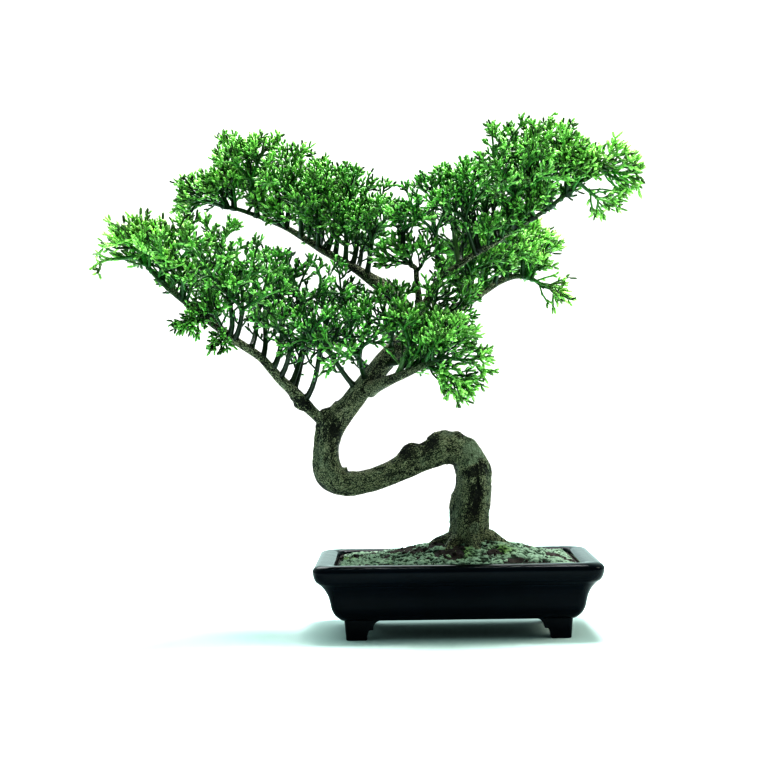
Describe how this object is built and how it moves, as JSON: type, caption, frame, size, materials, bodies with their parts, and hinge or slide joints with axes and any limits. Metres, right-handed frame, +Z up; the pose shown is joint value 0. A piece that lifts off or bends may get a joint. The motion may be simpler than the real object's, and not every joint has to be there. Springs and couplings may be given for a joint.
{
  "type": "potted bonsai tree",
  "caption": "Juniper bonsai with a doubled-back trunk and upswept sprays of short blunt shoots, rooted in mounded soil in a dark glazed rectangular tray on bracket feet",
  "frame": {"origin": "middle of the whole footprint, on the ground under the feet", "axes": "+X to the viewer's right along the length of the tray and the spread of the branches, +Y away from the viewer, +Z up"},
  "size_m": [0.2914, 0.1624, 0.2771],
  "materials": {
    "pot_glaze": "glossy near-black navy glaze that breaks pale blue-green along the rim",
    "soil": "moist dark crumbly soil with patches of moss",
    "bark": "furrowed grey-olive bark with a green tint",
    "foliage": "fresh green scale-leaved shoots with a slight gloss",
    "screen_mesh": "plain black mesh"
  },
  "bodies": {
    "root": {"pot": "pot_glaze", "drain_screen_left": "screen_mesh", "drain_screen_right": "screen_mesh", "soil": "soil", "trunk": "bark", "spray_back_01": "foliage", "spray_back_02": "foliage", "spray_back_03": "foliage", "spray_back_04": "foliage", "spray_back_05": "foliage", "spray_back_06": "foliage", "spray_back_07": "foliage", "spray_back_08": "foliage", "spray_back_tip_high": "foliage", "spray_back_tip_low": "foliage", "spray_crown_back": "foliage", "spray_crown_far_left": "foliage", "spray_crown_far_right": "foliage", "spray_crown_front": "foliage", "spray_crown_left": "foliage", "spray_crown_low": "foliage", "spray_crown_right": "foliage", "spray_front_01": "foliage", "spray_front_02": "foliage", "spray_front_03": "foliage", "spray_front_low": "foliage", "spray_front_tip": "foliage", "spray_left_01": "foliage", "spray_left_02": "foliage", "spray_left_03": "foliage", "spray_left_04": "foliage", "spray_left_05": "foliage", "spray_left_06": "foliage", "spray_left_07": "foliage", "spray_left_08": "foliage", "spray_left_09": "foliage", "spray_left_tip_high": "foliage", "spray_left_tip_low": "foliage", "spray_left_under": "foliage", "spray_rear_01": "foliage", "spray_rear_02": "foliage", "spray_rear_03": "foliage", "spray_rear_04": "foliage", "spray_rear_tip": "foliage", "spray_right_01": "foliage", "spray_right_02": "foliage", "spray_right_03": "foliage", "spray_right_04": "foliage", "spray_right_05": "foliage", "spray_right_06": "foliage", "spray_right_07": "foliage", "spray_right_08": "foliage", "spray_right_09": "foliage", "spray_right_tip_high": "foliage", "spray_right_tip_low": "foliage", "spray_right_tip_mid": "foliage", "spray_side_left": "foliage", "spray_side_right": "foliage", "spray_side_top": "foliage"}
  },
  "joints": []
}
